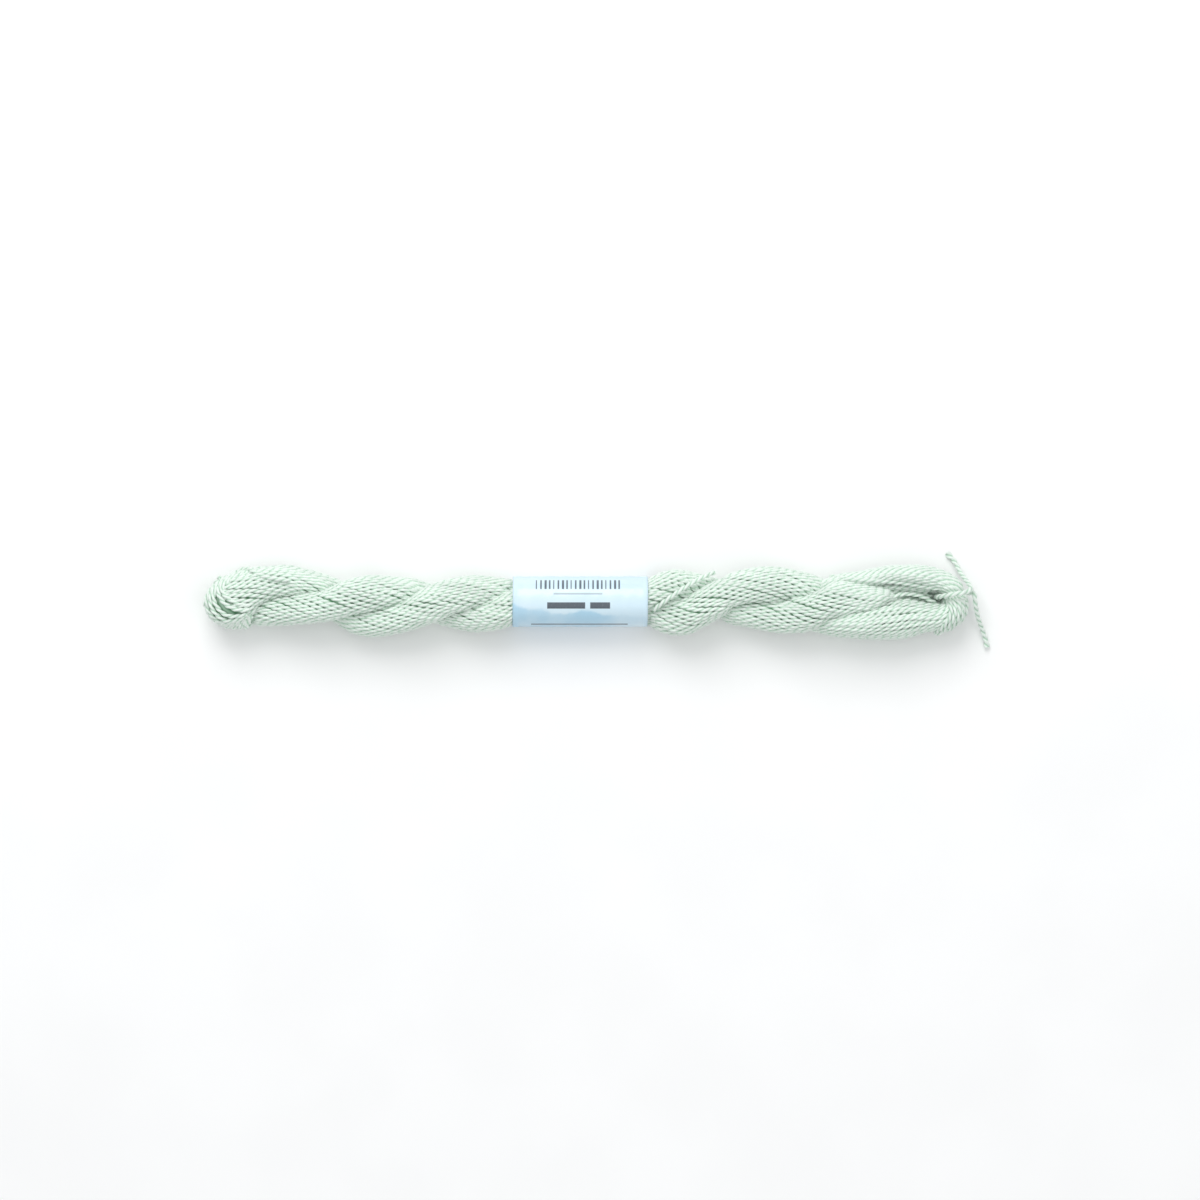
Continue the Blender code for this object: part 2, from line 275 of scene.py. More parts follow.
# The threads of the fold at the left end, each over the fold's surface by x and angle round the section.
FOLD_COLUMNS = ("x", "degrees", "lift")
RIM_THREADS = (
    (
        (-74.0, -60, 0.0), (-78.5, -30, 0.0), (-82.2, 0, 0.0), (-84.3, 35, 0.0), (-84.8, 90, 0.0),
        (-84.5, 160, 0.0), (-82.2, 168, 0.1), (-76.6, 138, -0.2),
    ),
    (
        (-73.0, -52, 0.0), (-77.5, -22, 0.0), (-80.8, 5, 0.0), (-83.4, 38, 0.1), (-84.4, 85, 0.1),
        (-83.8, 138, 0.1), (-81.0, 150, 0.2), (-76.0, 131, 0.0),
    ),
    (
        (-72.0, -44, 0.0), (-76.5, -14, 0.0), (-79.8, 12, 0.1), (-82.6, 45, 0.3), (-83.6, 80, 0.3),
        (-82.7, 118, 0.4), (-80.0, 134, 0.4), (-75.4, 127, 0.1),
    ),
    (
        (-71.0, -36, 0.0), (-75.5, -6, 0.0), (-78.8, 18, 0.3), (-81.8, 50, 0.5), (-82.8, 80, 0.6),
        (-81.6, 106, 0.7), (-79.2, 120, 0.7), (-75.2, 121, 0.3),
    ),
    (
        (-70.0, -28, 0.0), (-74.5, 0, 0.1), (-78.0, 24, 0.5), (-81.2, 50, 0.9), (-81.7, 72, 1.0),
        (-80.6, 90, 1.1), (-78.2, 104, 1.0), (-74.8, 113, 0.3),
    ),
    (
        (-69.0, -22, 0.0), (-73.5, 4, 0.1), (-77.2, 27, 0.3), (-80.0, 46, 0.5), (-80.9, 66, 0.6),
        (-79.6, 84, 0.5), (-77.2, 96, 0.2), (-74.6, 104, -0.6),
    ),
)
FAN_THREADS = (
    (
        (-75.6, 122, -0.6), (-78.6, 138, 0.1), (-81.6, 152, 0.1), (-83.2, 180, 0.0),
        (-82.5, 215, 0.0), (-79.0, 240, 0.0),
    ),
    (
        (-75.4, 124, -0.5), (-78.2, 143, 0.2), (-80.9, 160, 0.1), (-82.0, 190, 0.0),
        (-80.5, 220, 0.0), (-76.0, 238, 0.0),
    ),
    (
        (-75.2, 126, -0.4), (-77.6, 147, 0.2), (-79.8, 166, 0.1), (-80.4, 195, 0.0),
        (-78.6, 222, 0.0), (-74.0, 236, 0.0),
    ),
    (
        (-75.0, 128, -0.4), (-76.9, 150, 0.3), (-78.6, 171, 0.1), (-78.7, 200, 0.0),
        (-76.4, 224, 0.0), (-72.0, 232, 0.0),
    ),
    (
        (-74.8, 130, -0.4), (-76.2, 153, 0.3), (-77.3, 175, 0.1), (-77.0, 200, 0.0),
        (-74.6, 222, 0.0), (-70.5, 230, 0.0),
    ),
    (
        (-74.5, 132, -0.5), (-75.5, 156, 0.3), (-76.1, 178, 0.1), (-75.4, 202, 0.0),
        (-72.8, 220, 0.0), (-69.0, 226, 0.0),
    ),
)
FOLD_CENTRE = (-79.0, 0.2, 5.7)
FOLD_REACH = (5.75, 6.3, 6.0)
FOLD_TURNS = 11

# Threads that stray over their neighbours on the upper side.
STRAY_COLUMNS = ("x", "y", "lift")
STRAYS = (
    (
        (-79.6, 5.6, 0.0), (-77.6, 7.0, 0.4), (-75.8, 7.6, 0.8), (-74.2, 6.9, 0.6),
        (-71.0, 5.6, 0.2), (-66.0, 4.9, -0.2),
    ),
    (
        (14.6, -1.6, -1.2), (17.0, 0.3, -0.75), (20.0, 2.4, -0.6), (23.5, 4.6, -0.6),
        (26.0, 5.9, -0.8), (28.0, 6.7, -1.4),
    ),
    (
        (54.0, 5.9, -0.5), (57.0, 5.3, 0.2), (60.0, 5.0, 0.4), (64.0, 4.8, 0.3), (69.0, 4.4, 0.3),
        (74.0, 3.6, 0.3), (78.2, 3.0, -0.2),
    ),
)

TIE_SIDES = 14
TIP_FLARE = 0.22

# The paper band's outer outline, and the plain print on it: bars and rules in columns of mm.
BAND_LEFT = -16.7
BAND_RIGHT = 13.2
BAND_UP = 6.0
BAND_DOWN = -5.6
BAND_CROWN = 12.2
BAND_UNDER = -0.5
RULE_COLUMNS = ("left", "right", "low", "high", "ink")
RULES = (
    (-7.6, 3.2, 1.75, 2.15, 0.45),
    (-9.0, -0.6, -1.35, 0.05, 0.92),
    (0.5, 4.9, -1.35, 0.05, 0.92),
    (-12.6, 8.8, -4.95, -4.65, 0.75),
)
BARS = {"left": -11.6, "right": 7.6, "low": 2.95, "high": 4.95, "pitch": 0.96, "ink": 0.85}


class ThreadSettings(bpy.types.PropertyGroup):
    """The plied thread of the hank and the tie."""

    diameter: FloatProperty(
        name="Thread diameter", description="Across the plied thread",
        default=0.00112, unit="LENGTH"
    )
    spacing: FloatProperty(
        name="Thread spacing", description="Between neighbouring threads",
        default=0.00102, unit="LENGTH"
    )
    lay: FloatProperty(
        name="Ply lay", description="Length of one whole turn of the plies",
        default=0.0034, unit="LENGTH"
    )
    sides: IntProperty(name="Sides", description="Points round one thread", default=10, min=6, max=24)
    groove: FloatProperty(
        name="Ply groove", description="Depth between the plies as a share of the radius",
        default=0.42, subtype="FACTOR"
    )
    drift: FloatProperty(
        name="Drift", description="Degrees that a thread turns round the hank each millimetre",
        default=1.5
    )
    seed: IntProperty(name="Seed", description="Seed of the threads' unevenness", default=7)
    light: FloatVectorProperty(
        name="Light mint", description="Thread colour on its crests",
        default=(0.79, 0.87, 0.81), subtype="COLOR"
    )
    # Painted shade: a dark mint for the core of deeper threads, in place of the shade that falls deep inside
    # the hank.
    inner_shade: FloatVectorProperty(
        name="Painted inner shade", description="Threads deep inside",
        default=(0.12, 0.30, 0.16), subtype="COLOR"
    )
    # Painted shade: a darker, greener mint laid into the grooves between the plies and into the core, for the
    # shade that falls there; light is the thread's own mint.
    deep: FloatVectorProperty(
        name="Painted groove shade", description="Thread colour between its plies",
        default=(0.46, 0.66, 0.51), subtype="COLOR"
    )


class BandSettings(bpy.types.PropertyGroup):
    """The printed paper band."""

    thickness: FloatProperty(
        name="Paper thickness", description="Thickness of the paper",
        default=0.00014, unit="LENGTH"
    )
    paper: FloatVectorProperty(
        name="Paper", description="Pale blue of the paper",
        default=(0.64, 0.81, 0.91), subtype="COLOR"
    )
    wash: FloatVectorProperty(
        name="Wash", description="Deeper blue of the printed wash",
        default=(0.37, 0.63, 0.81), subtype="COLOR"
    )
    ink: FloatVectorProperty(
        name="Ink", description="Ink of the bars and rules",
        default=(0.012, 0.02, 0.04), subtype="COLOR"
    )


class TieSettings(bpy.types.PropertyGroup):
    """The thread tied through the eye."""

    diameter: FloatProperty(
        name="Tie diameter", description="Across the tie thread",
        default=0.00125, unit="LENGTH"
    )


class StageSettings(bpy.types.PropertyGroup):
    """Floor, lights and camera."""

    frame_width: FloatProperty(
        name="Frame width", description="Width of floor that the camera sees",
        default=0.2667, unit="LENGTH"
    )
    distance: FloatProperty(
        name="Camera height", description="Height of the camera over the floor",
        default=0.9, unit="LENGTH"
    )


def settings():
    """The scene, which holds the skein's property groups."""
    return bpy.context.scene


def curve_through(xs, ys, at):
    """Values at distances at, on a smooth curve that doesn't overshoot its points."""
    xs = np.array(xs, float)
    ys = np.array(ys, float)
    steps = np.diff(xs)
    slopes = np.diff(ys) / steps
    tangents = np.zeros(len(xs))
    tangents[0] = slopes[0]
    tangents[-1] = slopes[-1]
    for i in range(1, len(xs) - 1):
        if slopes[i - 1] * slopes[i] > 0:
            before = 2 * steps[i] + steps[i - 1]
            after = steps[i] + 2 * steps[i - 1]
            tangents[i] = (before + after) / (before / slopes[i - 1] + after / slopes[i])
    at = np.asarray(at, float)
    i = np.clip(np.searchsorted(xs, at) - 1, 0, len(steps) - 1)
    t = (at - xs[i]) / steps[i]
    rise = (1 + 2 * t) * (1 - t) ** 2 * ys[i] + t * t * (3 - 2 * t) * ys[i + 1]
    lean = t * (1 - t) ** 2 * tangents[i] - t * t * (1 - t) * tangents[i + 1]
    return rise + steps[i] * lean


def route(rows, step):
    """Points at even steps of a smooth curve through the rows, every column carried along."""
    table = np.array(rows, float)
    gaps = np.linalg.norm(np.diff(table[:, :3], axis=0), axis=1) ** 0.5
    knots = np.concatenate([[0.0], np.cumsum(gaps)])
    tangents = np.gradient(table, knots, axis=0)
    fine = []
    for i in range(len(table) - 1):
        span = knots[i + 1] - knots[i]
        for t in np.linspace(0, 1, 24, endpoint=False):
            rise = (1 + 2 * t) * (1 - t) ** 2 * table[i] + t * t * (3 - 2 * t) * table[i + 1]
            lean = t * (1 - t) ** 2 * tangents[i] - t * t * (1 - t) * tangents[i + 1]
            fine.append(rise + span * lean)
    fine.append(table[-1])
    fine = np.array(fine)
    along = np.concatenate([[0.0], np.cumsum(np.linalg.norm(np.diff(fine[:, :3], axis=0), axis=1))])
    wanted = np.linspace(0, along[-1], max(2, round(along[-1] / step) + 1))
    return np.stack([np.interp(wanted, along, fine[:, k]) for k in range(fine.shape[1])], axis=1)


def outline(name, x):
    table = np.array(OUTLINE)
    within = np.clip(x, table[0, 0], table[-1, 0])
    return curve_through(table[:, 0], table[:, OUTLINE_COLUMNS.index(name)], within)


def groove(rows, x):
    table = np.array(rows)
    return curve_through(table[:, 0], table[:, 1], np.clip(x, table[0, 0] - 3, table[-1, 0]))


def power(value, exponent):
    return np.copysign(np.abs(value) ** exponent, value)


def leg_share(x, degrees):
    """An angle's share of the way across the leg that it lies on, from groove to groove."""
    p = groove(GROOVE_P, x)
    q = groove(GROOVE_Q, x)
    angle = degrees - 360 * np.ceil((degrees - p) / 360)
    first = angle >= q
    share = np.where(first, (p - angle) / (p - q), (q - angle) / (q - p + 360))
    return np.clip(share, 0, 1)


def leg_reach(x, share):
    """How far out a leg's surface stands: steep on its upper edge, gentle on the edge that dives."""
    edge = np.where(share < 0.5, GROOVE_STEEP, GROOVE_GENTLE)
    return 1 - outline("cut", x) * GROOVE_DEEPER * (1 - np.sin(math.pi * share) ** edge)


def crease_place(points):
    """The crease's x beside each place."""
    return np.interp(points[:, 1], CREASE_Y, CREASE_X)


def crease_depth(points):
    """How far the upper leg goes down at the crease behind the eye."""
    near = np.clip(1 + (points[:, 0] - crease_place(points)) / CREASE_WIDTH, 0, 1) ** 2
    return CREASE_DEPTH * near * (points[:, 2] > CREASE_LEVEL) * (points[:, 0] > EYE_SIDE)


def hank_point(x, degrees, inset, reach=None):
    """Places on the hank's surface, or inset below it."""
    x = np.asarray(x, float)
    degrees = np.asarray(degrees, float)
    up, down, crown, under = (outline(name, x) for name in OUTLINE_COLUMNS[1:5])
    if reach is None:
        reach = leg_reach(x, leg_share(x, degrees))
    angle = np.radians(degrees)
    across = np.maximum((up - down) / 2 * reach - inset, 0.1)
    tall = np.maximum((crown - under) / 2 * reach - inset, 0.1)
    y = (up + down) / 2 + across * power(np.cos(angle), SQUARENESS)
    z = (crown + under) / 2 + tall * power(np.sin(angle), SQUARENESS)
    return np.stack([x, y, np.maximum(z, inset)], axis=-1)


def waver(rng, x, size):
    """A slow uneven wander along x, of about the given size."""
    value = np.zeros_like(x)
    for share, long in ((1.0, 34.0), (0.6, 17.0), (0.35, 8.0)):
        value += share * np.sin(2 * math.pi * (x / long / rng.uniform(0.8, 1.25) + rng.uniform()))
    return size * value * 0.6


def thread(points, rng, girth=1.0):
    """One thread's line, with its own tint, the turn its plies start at and its girth along the line."""
    tint = rng.uniform()
    phase = rng.uniform(0, 2 * math.pi)
    return {"points": np.asarray(points), "tint": tint, "phase": phase, "girth": girth}


def leg_threads(rng, radius, spacing, drift):
    """Threads along the two laid legs, each from the groove it comes out of to the groove it goes into."""
    threads = []
    xs = np.arange(-84.0, 74.6, THREAD_STEP)
    p = groove(GROOVE_P, xs)
    q = groove(GROOVE_Q, xs)
    width = (outline("up", xs) - outline("down", xs)) / 2 - radius
    height = (outline("crown", xs) - outline("under", xs)) / 2 - radius
    around = math.pi * (3 * (width + height) - np.sqrt((3 * width + height) * (width + 3 * height)))
    step = 360 * spacing / np.quantile(around, 0.7)
    for begin, end in ((p, q), (q, p - 360)):
        shift = rng.uniform()
        highest = begin.max() - drift * xs.min()
        lowest = end.min() - drift * xs.max()
        for k in range(int(lowest / step) - 1, int(highest / step) + 2):
            degrees = step * (k + shift) + drift * xs
            inside = np.flatnonzero((degrees <= begin) & (degrees >= end))
            if len(inside) < 5:
                continue
            degrees += rng.normal(0, 0.13) * (xs - xs[inside].mean())
            degrees += np.degrees(waver(rng, xs, 0.15) / 7.0)
            inside = np.flatnonzero((degrees <= begin) & (degrees >= end))
            if len(inside) > 4:
                threads += leg_run(rng, xs, degrees, inside, radius)
    return threads


def leg_run(rng, xs, degrees, inside, radius):
    """One thread over one leg, its ends led down into the grooves."""
    first, last = xs[inside[0]], xs[inside[-1]]
    x = np.arange(first - RUN_BEYOND, last + RUN_BEYOND + 0.01, THREAD_STEP)
    angle = np.interp(x, xs, degrees)
    held = np.clip(x, first, last)
    share = leg_share(held, np.interp(held, xs, degrees))
    reach = leg_reach(x, share)
    beyond = np.maximum(np.maximum(first - x, x - last), 0)
    reach = np.maximum(reach - 0.10 * beyond * (outline("cut", x) > 0.07), 0.1)
    inset = radius + np.abs(waver(rng, x, 0.18))
    points = hank_point(x, angle, inset, reach)
    start = fold_edge(points)
    keep = (x > start) & (x < LEGS_END)
    keep &= ~((x > HIDDEN_FROM) & (x < HIDDEN_TO))
    keep &= ~((points[:, 2] > CREASE_LEVEL) & (x > crease_place(points) + 1.2))
    dive = 0.5 * np.clip(1 - (x - start) / 1.6, 0, 1) * (x < -70)
    dive += crease_depth(points)
    points = hank_point(x, angle, inset + dive, reach)
    pieces = []
    for run in np.split(np.arange(len(x)), np.flatnonzero(~keep)):
        run = [i for i in run if keep[i]]
        if len(run) >= 4:
            pieces.append(thread(points[run], rng))
    return pieces


def fold_edge(points):
    """Where the legs' threads begin beside the fold: the x of its last rim thread at each place."""
    upper = np.interp(points[:, 1], FOLD_EDGE_Y, FOLD_EDGE_X)
    return np.where(points[:, 2] > FOLD_EDGE_LEVEL, upper, FOLD_EDGE_BENEATH)


def fold_threads(rng, radius):
    """Threads over the fold at the left end: turns behind, then the rim and the fan on top."""
    threads = []
    for k in range(FOLD_TURNS):
        y = FOLD_REACH[1] * (2 * (k + 0.5) / FOLD_TURNS - 1) * 0.86
        swell = math.sqrt(1 - (y / FOLD_REACH[1]) ** 2)
        angle = np.radians(np.linspace(30, -118, 26))
        deep = radius + 0.35
        x = FOLD_CENTRE[0] - (FOLD_REACH[0] - deep) * swell * np.cos(angle)
        z = FOLD_CENTRE[2] + (FOLD_REACH[2] - deep) * swell * np.sin(angle)
        across = FOLD_CENTRE[1] + y + 0.5 * np.sin(angle + 0.4)
        threads.append(thread(np.stack([x, across, np.maximum(z, radius)], axis=1), rng))
    for family in (RIM_THREADS, FAN_THREADS):
        for rows in family:
            fine = route([(row[0], row[1] / 9.0, row[2]) for row in rows], 0.6)
            inset = radius - fine[:, 2] * 0.6
            threads.append(thread(hank_point(fine[:, 0], fine[:, 1] * 9.0, inset, 1.0), rng))
    return threads


def eye_ring(step):
    return route(EYE, step)


def eye_threads(rng, radius, spacing):
    """Threads round the eye, spread where the rope is broad and close where it is drawn in."""
    threads = []
    path = eye_ring(0.7)
    ahead = np.gradient(path[:, :2], axis=0)
    ahead /= np.linalg.norm(ahead, axis=1)[:, None]
    side = np.stack([-ahead[:, 1], ahead[:, 0]], axis=1)
    along = np.concatenate([[0], np.cumsum(np.linalg.norm(np.diff(path[:, :3], axis=0), axis=1))])
    width = path[:, 3] - radius
    height = path[:, 4] - radius
    around = math.pi * (3 * (width + height) - np.sqrt((3 * width + height) * (width + 3 * height)))
    count = 3 * int(round(around.max() / spacing / 3))
    twist = 2.6 * np.minimum(along, 34.0) - 0.6 * np.maximum(along - 46.0, 0)
    cinch = 1 - 0.16 * np.exp(-(((path[:, 0] - 81.4) / 2.5) ** 2 + ((path[:, 1] - 1.8) / 0.9) ** 2))
    narrow = np.clip((around.max() - around) / (around.max() / 3), 0, 1)
    for k in range(count):
        base = 360 * k / count + narrow * 360 / count * (0, 0.5, 0.25)[k % 3]
        angle = np.radians(base + twist + np.degrees(waver(rng, along, 0.16) / 3.5))
        inset = np.abs(waver(rng, along, 0.14)) + (0.75 * narrow if k % 3 == 2 else 0)
        out = (width * cinch - inset) * np.cos(angle)
        rise = (height * cinch - inset) * np.sin(angle)
        across = path[:, :2] + side * out[:, None]
        level = np.maximum(path[:, 2] + rise, radius)
        threads.append(thread(np.column_stack([across, level]), rng))
    for rows in INNER_LOOPS:
        threads.append(thread(route(rows, 0.7), rng))
    for rows in CAP_THREADS:
        fine = route(rows, 0.6)
        threads.append(thread(np.column_stack([fine[:, :2], eye_top(fine, path) + fine[:, 2] - radius]), rng))
    return threads


def eye_top(points, path):
    """Heights of the eye's upper side at places given by x and y."""
    away = np.linalg.norm(points[:, None, :2] - path[None, :, :2], axis=2)
    nearest = path[away.argmin(axis=1)]
    share = np.clip(away.min(axis=1) / nearest[:, 3], 0, 0.97)
    return nearest[:, 2] + nearest[:, 4] * np.sqrt(1 - share**2)


def stray_threads(rng, radius):
    """Single threads lying over the rest."""
    threads = []
    for rows in STRAYS:
        fine = route(rows, 0.7)
        x = fine[:, 0]
        middle = (outline("up", x) + outline("down", x)) / 2
        half = (outline("up", x) - outline("down", x)) / 2
        if x.mean() > 50:
            path = eye_ring(0.7)
            upper = path[: len(path) * 45 // 100]
            middle = np.interp(x, upper[:, 0], upper[:, 1])
            half = np.interp(x, upper[:, 0], upper[:, 3])
            crown = np.interp(x, upper[:, 0], upper[:, 2])
            tall = np.interp(x, upper[:, 0], upper[:, 4])
            level = crown + tall * np.sqrt(np.clip(1 - ((fine[:, 1] - middle) / half) ** 2, 0.1, 1)) - radius
        else:
            crown = (outline("crown", x) + outline("under", x)) / 2
            tall = (outline("crown", x) - outline("under", x)) / 2
            level = crown + tall * np.sqrt(np.clip(1 - ((fine[:, 1] - middle) / half) ** 2, 0.02, 1)) - radius
        threads.append(thread(np.stack([x, fine[:, 1], level + fine[:, 2]], axis=1), rng))
    return threads


def plied_thread_tree():
    """Geometry Nodes: every polyline swept as a thread of two plies."""
    tree = bpy.data.node_groups.new("plied_thread", "GeometryNodeTree")
    face = tree.interface
    face.new_socket("Geometry", in_out="INPUT", socket_type="NodeSocketGeometry")
    for name, kind in (
        ("Radius", "NodeSocketFloat"),
        ("Ring Step", "NodeSocketFloat"),
        ("Sides", "NodeSocketInt"),
        ("Turn per Ring", "NodeSocketFloat"),
        ("Ply Groove", "NodeSocketFloat"),
        ("Material", "NodeSocketMaterial"),
    ):
        face.new_socket(name, in_out="INPUT", socket_type=kind)
    face.new_socket("Geometry", in_out="OUTPUT", socket_type="NodeSocketGeometry")
    link = tree.links.new

    def node(kind, **facts):
        made = tree.nodes.new(kind)
        for key, value in facts.items():
            setattr(made, key, value)
        return made

    def maths(operation, a, b=None):
        made = node("ShaderNodeMath", operation=operation)
        for socket, value in zip(made.inputs, (a, b)):
            if isinstance(value, (int, float)):
                socket.default_value = value
            elif value is not None:
                link(value, socket)
        return made.outputs[0]

    def stored(geometry, name, kind, value):
        made = node("GeometryNodeStoreNamedAttribute", data_type=kind, domain="POINT")
        made.inputs["Name"].default_value = name
        link(geometry, made.inputs["Geometry"])
        link(value, made.inputs["Value"])
        return made.outputs["Geometry"]

    def named(name):
        made = node("GeometryNodeInputNamedAttribute", data_type="FLOAT")
        made.inputs["Name"].default_value = name
        return made.outputs["Attribute"]

    given = node("NodeGroupInput")
    lines = node("GeometryNodeMeshToCurve")
    link(given.outputs["Geometry"], lines.inputs["Mesh"])
    smooth = node("GeometryNodeCurveSplineType", spline_type="CATMULL_ROM")
    link(lines.outputs["Curve"], smooth.inputs["Curve"])
    rings = node("GeometryNodeResampleCurve", mode="LENGTH")
    link(smooth.outputs["Curve"], rings.inputs["Curve"])
    link(given.outputs["Ring Step"], rings.inputs["Length"])
    length = node("GeometryNodeSplineParameter")
    marked = stored(rings.outputs["Curve"], "along", "FLOAT", length.outputs["Length"])
    index = node("GeometryNodeInputIndex")
    turned = maths("MULTIPLY", index.outputs["Index"], given.outputs["Turn per Ring"])
    tilt = node("GeometryNodeSetCurveTilt")
    link(marked, tilt.inputs["Curve"])
    link(maths("ADD", turned, named("phase")), tilt.inputs["Tilt"])

    circle = node("GeometryNodeCurvePrimitiveCircle", mode="RADIUS")
    circle.inputs["Radius"].default_value = 1.0
    link(given.outputs["Sides"], circle.inputs["Resolution"])
    place = node("GeometryNodeInputPosition")
    split = node("ShaderNodeSeparateXYZ")
    link(place.outputs["Position"], split.inputs[0])
    # crest is 1 on the plies' crests and 0 in the grooves between them; the thread material paints shade
    # where it is low.
    crest = maths("MULTIPLY", split.outputs["Y"], split.outputs["Y"])
    valley = maths("MULTIPLY", split.outputs["X"], split.outputs["X"])
    profile = stored(circle.outputs["Curve"], "crest", "FLOAT", crest)
    profile = stored(profile, "round", "FLOAT_VECTOR", place.outputs["Position"])
    inward = maths("SUBTRACT", 1.0, maths("MULTIPLY", valley, given.outputs["Ply Groove"]))
    wide = node("ShaderNodeVectorMath", operation="SCALE")
    link(place.outputs["Position"], wide.inputs[0])
    link(maths("MULTIPLY", inward, given.outputs["Radius"]), wide.inputs["Scale"])
    shaped = node("GeometryNodeSetPosition")
    link(profile, shaped.inputs["Geometry"])
    link(wide.outputs[0], shaped.inputs["Position"])

    sweep = node("GeometryNodeCurveToMesh")
    sweep.inputs["Fill Caps"].default_value = True
    link(tilt.outputs["Curve"], sweep.inputs["Curve"])
    link(shaped.outputs["Geometry"], sweep.inputs["Profile Curve"])
    link(named("girth"), sweep.inputs["Scale"])
    threes = node("GeometryNodeTriangulate", quad_method="SHORTEST_DIAGONAL")
    link(sweep.outputs["Mesh"], threes.inputs["Mesh"])
    soft = node("GeometryNodeSetShadeSmooth")
    link(threes.outputs["Mesh"], soft.inputs["Geometry"])
    real = node("GeometryNodeRealizeInstances")
    link(soft.outputs["Geometry"], real.inputs["Geometry"])
    dressed = node("GeometryNodeSetMaterial")
    link(real.outputs["Geometry"], dressed.inputs["Geometry"])
    link(given.outputs["Material"], dressed.inputs["Material"])
    out = node("NodeGroupOutput")
    link(dressed.outputs["Geometry"], out.inputs["Geometry"])
    return tree


def sweep_threads(name, threads, diameter, sides):
    """One plain mesh of plied threads along polylines, through the Geometry Nodes tree."""
    chosen = settings().skein_thread
    lines = bpy.data.meshes.new(name + "_lines")
    verts = []
    edges = []
    values = {"tint": [], "phase": [], "girth": []}
    for one in threads:
        base = len(verts)
        count = len(one["points"])
        verts += [tuple(p * MM) for p in one["points"]]
        edges += [(base + i, base + i + 1) for i in range(count - 1)]
        for key, held in values.items():
            held += list(np.broadcast_to(one[key], count))
    lines.from_pydata(verts, edges, [])
    for key, held in values.items():
        attribute = lines.attributes.new(key, "FLOAT", "POINT")
        attribute.data.foreach_set("value", np.array(held, np.float32))
    maker = bpy.data.objects.new(name + "_maker", lines)
    bpy.context.scene.collection.objects.link(maker)
    tree = bpy.data.node_groups.get("plied_thread") or plied_thread_tree()
    live = maker.modifiers.new("plied thread", "NODES")
    live.node_group = tree
    wanted = {
        "Radius": diameter / 2,
        "Ring Step": chosen.lay / sides,
        "Sides": sides,
        "Turn per Ring": -2 * math.pi / sides,
        "Ply Groove": chosen.groove,
        "Material": thread_material(),
    }
    for socket in tree.interface.items_tree:
        if socket.in_out == "INPUT" and socket.name in wanted:
            live[socket.identifier] = wanted[socket.name]
    view = bpy.context.evaluated_depsgraph_get()
    mesh = bpy.data.meshes.new_from_object(maker.evaluated_get(view))
    bpy.data.objects.remove(maker)
    bpy.data.meshes.remove(lines)
    mesh.name = name
    return mesh


def placed(name, mesh, material=None):
    """A finished piece at the origin, riding on the one body."""
    if material is not None:
        mesh.materials.clear()
        mesh.materials.append(material)
    piece = bpy.data.objects.new(name, mesh)
    bpy.context.scene.collection.objects.link(piece)
    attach(piece, "root")
    return piece


class Shader:
    """A material's node tree, written down step by step."""

    def __init__(self, name):
        self.material = bpy.data.materials.get(name)
        self.fresh = self.material is None
        if self.fresh:
            self.material = bpy.data.materials.new(name)
            self.material.use_nodes = True
        self.tree = self.material.node_tree
        self.surface = self.tree.nodes["Principled BSDF"]

    def node(self, kind, **facts):
        made = self.tree.nodes.new(kind)
        for key, value in facts.items():
            setattr(made, key, value)
        return made

    def put(self, socket, value):
        if isinstance(value, bpy.types.NodeSocket):
            self.tree.links.new(value, socket)
        elif value is not None:
            if hasattr(value, "__len__") and len(value) == 3 and socket.type == "RGBA":
                value = (*value, 1.0)
            socket.default_value = value

    def maths(self, operation, a, b=None, clamp=False):
        made = self.node("ShaderNodeMath", operation=operation, use_clamp=clamp)
        self.put(made.inputs[0], a)
        self.put(made.inputs[1], b)
        return made.outputs[0]

    def attribute(self, name, output="Fac"):
        return self.node("ShaderNodeAttribute", attribute_name=name).outputs[output]

    def object_place(self):
        return self.node("ShaderNodeTexCoord").outputs["Object"]

    def axes(self, vector):
        made = self.node("ShaderNodeSeparateXYZ")
        self.put(made.inputs[0], vector)
        return made.outputs

    def noise(self, vector, scale, detail=3.0, roughness=0.5):
        made = self.node("ShaderNodeTexNoise")
        self.put(made.inputs["Vector"], vector)
        made.inputs["Scale"].default_value = scale
        made.inputs["Detail"].default_value = detail
        made.inputs["Roughness"].default_value = roughness
        return made.outputs["Fac"]

    def spread(self, value, low, high, to_low=0.0, to_high=1.0):
        made = self.node("ShaderNodeMapRange", interpolation_type="SMOOTHSTEP")
        self.put(made.inputs["Value"], value)
        made.inputs["From Min"].default_value = low
        made.inputs["From Max"].default_value = high
        made.inputs["To Min"].default_value = to_low
        made.inputs["To Max"].default_value = to_high
        return made.outputs["Result"]

    def mix(self, share, a, b, blend="MIX"):
        made = self.node("ShaderNodeMix", data_type="RGBA", blend_type=blend)
        self.put(made.inputs["Factor"], share)
        self.put(made.inputs["A"] if made.inputs["A"].type == "RGBA" else made.inputs[6], a)
        self.put(made.inputs["B"] if made.inputs["B"].type == "RGBA" else made.inputs[7], b)
        return made.outputs[2]

    def bump(self, height, strength, distance):
        made = self.node("ShaderNodeBump")
        made.inputs["Strength"].default_value = strength
        made.inputs["Distance"].default_value = distance
        self.put(made.inputs["Height"], height)
        self.put(self.surface.inputs["Normal"], made.outputs["Normal"])

    def set(self, **values):
        for key, value in values.items():
            self.put(self.surface.inputs[key.replace("_", " ")], value)


